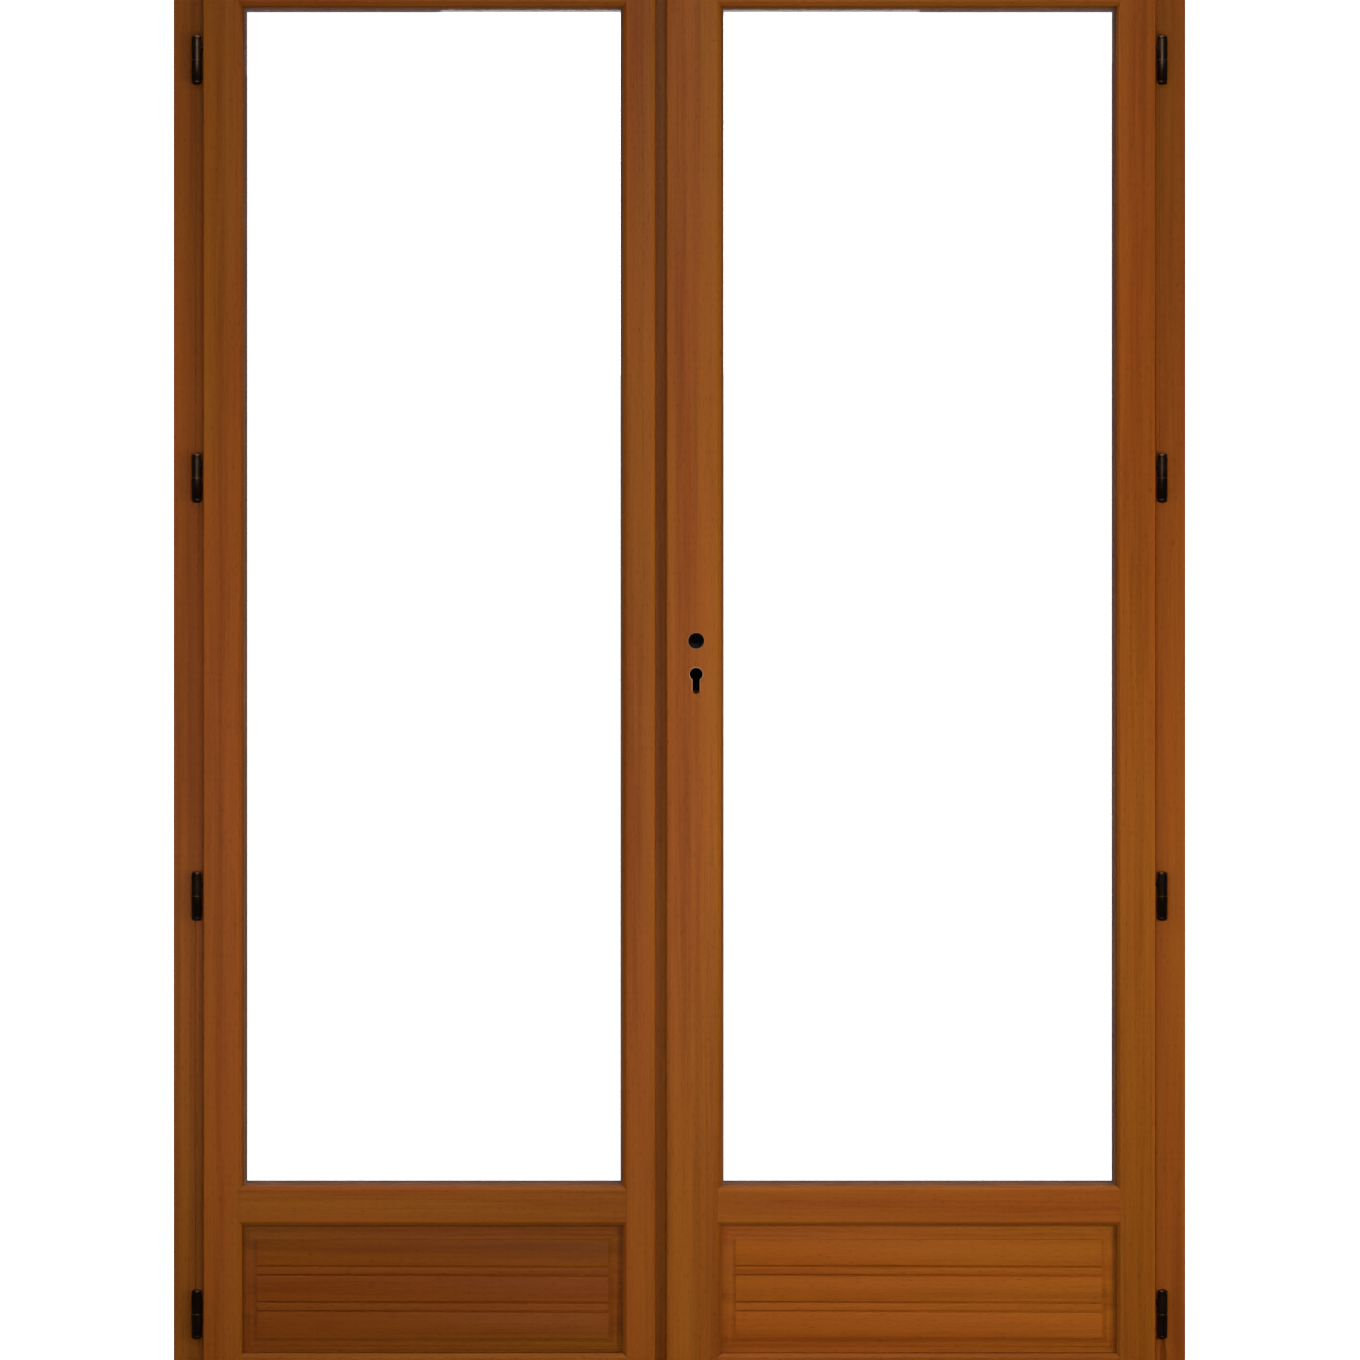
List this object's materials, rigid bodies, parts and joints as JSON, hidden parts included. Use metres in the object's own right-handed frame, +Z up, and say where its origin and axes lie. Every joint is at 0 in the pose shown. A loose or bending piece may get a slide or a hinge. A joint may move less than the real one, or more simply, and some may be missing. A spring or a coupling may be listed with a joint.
{
  "type": "french doors",
  "caption": "Pair of inward-opening timber french doors in their frame, each leaf double glazed over a short grooved panel, with a handle hole and a key cylinder hole.",
  "frame": {"origin": "middle of the frame's underside, at floor level, in the plane of the lock rods", "axes": "+X to the right seen from the room, +Y outwards, -Y towards the room, +Z up"},
  "size_m": [1.4, 0.111, 2.15],
  "materials": {
    "leaf_timber": "satin stained hardwood",
    "panel_timber": "satin stained hardwood",
    "frame_timber": "satin stained hardwood",
    "threshold": "anodised",
    "seal": "matt",
    "hinge": "bronze plated",
    "glass": "clear float glass",
    "spacer": "bronze anodised",
    "lock_steel": "zinc plated",
    "lock_black": "blackened steel"
  },
  "bodies": {
    "frame": {"left_jamb": "frame_timber", "right_jamb": "frame_timber", "head": "frame_timber", "threshold": "threshold", "left_jamb_seal": "seal", "right_jamb_seal": "seal", "head_seal": "seal", "threshold_seal": "seal", "head_keep": "lock_steel", "threshold_keep": "lock_steel", "left_hinge_1_pin_half": "hinge", "left_hinge_2_pin_half": "hinge", "left_hinge_3_pin_half": "hinge", "left_hinge_4_pin_half": "hinge", "right_hinge_1_pin_half": "hinge", "right_hinge_2_pin_half": "hinge", "right_hinge_3_pin_half": "hinge", "right_hinge_4_pin_half": "hinge"},
    "left_leaf": {"left_hinge_stile": "leaf_timber", "left_meeting_stile": "leaf_timber", "left_top_rail": "leaf_timber", "left_mid_rail": "leaf_timber", "left_bottom_rail": "leaf_timber", "left_panel": "panel_timber", "left_inner_pane": "glass", "left_outer_pane": "glass", "left_pane_spacer": "spacer", "left_beads": "leaf_timber", "left_weatherboard": "leaf_timber", "left_hinge_1_leaf_half": "hinge", "left_hinge_2_leaf_half": "hinge", "left_hinge_3_leaf_half": "hinge", "left_hinge_4_leaf_half": "hinge", "meeting_seal": "seal", "strike_plate": "lock_steel", "flush_bolt_plates": "lock_steel"},
    "top_flush_bolt": {"top_flush_bolt": "lock_steel"},
    "bottom_flush_bolt": {"bottom_flush_bolt": "lock_steel"},
    "right_leaf": {"right_hinge_stile": "leaf_timber", "right_meeting_stile": "leaf_timber", "right_top_rail": "leaf_timber", "right_mid_rail": "leaf_timber", "right_bottom_rail": "leaf_timber", "right_panel": "panel_timber", "right_inner_pane": "glass", "right_outer_pane": "glass", "right_pane_spacer": "spacer", "right_beads": "leaf_timber", "right_weatherboard": "leaf_timber", "right_hinge_1_leaf_half": "hinge", "right_hinge_2_leaf_half": "hinge", "right_hinge_3_leaf_half": "hinge", "right_hinge_4_leaf_half": "hinge", "lock_case": "lock_black", "lock_faceplate": "lock_steel"},
    "handle_hub": {"handle_hub": "lock_black"},
    "dead_bolt": {"dead_bolt": "lock_steel"},
    "top_shoot_rod": {"top_shoot_rod": "lock_steel"},
    "bottom_shoot_rod": {"bottom_shoot_rod": "lock_steel"}
  },
  "joints": [
    {"name": "right_leaf_swing", "type": "hinge", "parent": "frame", "child": "right_leaf", "pos_m": [0.667, -0.029, 0.246], "axis": [0, 0, 1], "range_deg": [0, 170]},
    {"name": "left_leaf_swing", "type": "hinge", "parent": "frame", "child": "left_leaf", "pos_m": [-0.667, -0.029, 0.246], "axis": [0, 0, -1], "range_deg": [0, 170]},
    {"name": "handle_turn", "type": "hinge", "parent": "right_leaf", "child": "handle_hub", "pos_m": [0.023, 0, 1.176], "axis": [0, 1, 0], "range_deg": [0, 90]},
    {"name": "top_rod_slide", "type": "slide", "parent": "right_leaf", "child": "top_shoot_rod", "axis": [0, 0, 1], "range_m": [0, 0.014]},
    {"name": "bottom_rod_slide", "type": "slide", "parent": "right_leaf", "child": "bottom_shoot_rod", "axis": [0, 0, -1], "range_m": [0, 0.014]},
    {"name": "dead_bolt_slide", "type": "slide", "parent": "right_leaf", "child": "dead_bolt", "axis": [-1, 0, 0], "range_m": [0, 0.014]},
    {"name": "top_flush_bolt_slide", "type": "slide", "parent": "left_leaf", "child": "top_flush_bolt", "axis": [0, 0, 1], "range_m": [0, 0.014]},
    {"name": "bottom_flush_bolt_slide", "type": "slide", "parent": "left_leaf", "child": "bottom_flush_bolt", "axis": [0, 0, -1], "range_m": [0, 0.014]}
  ],
  "couplings": [
    {"joint": "left_leaf_swing", "follows": "right_leaf_swing", "ratio": 1},
    {"joint": "handle_turn", "follows": "top_rod_slide", "rad_per_m": 112.2},
    {"joint": "bottom_rod_slide", "follows": "top_rod_slide", "ratio": 1}
  ]
}
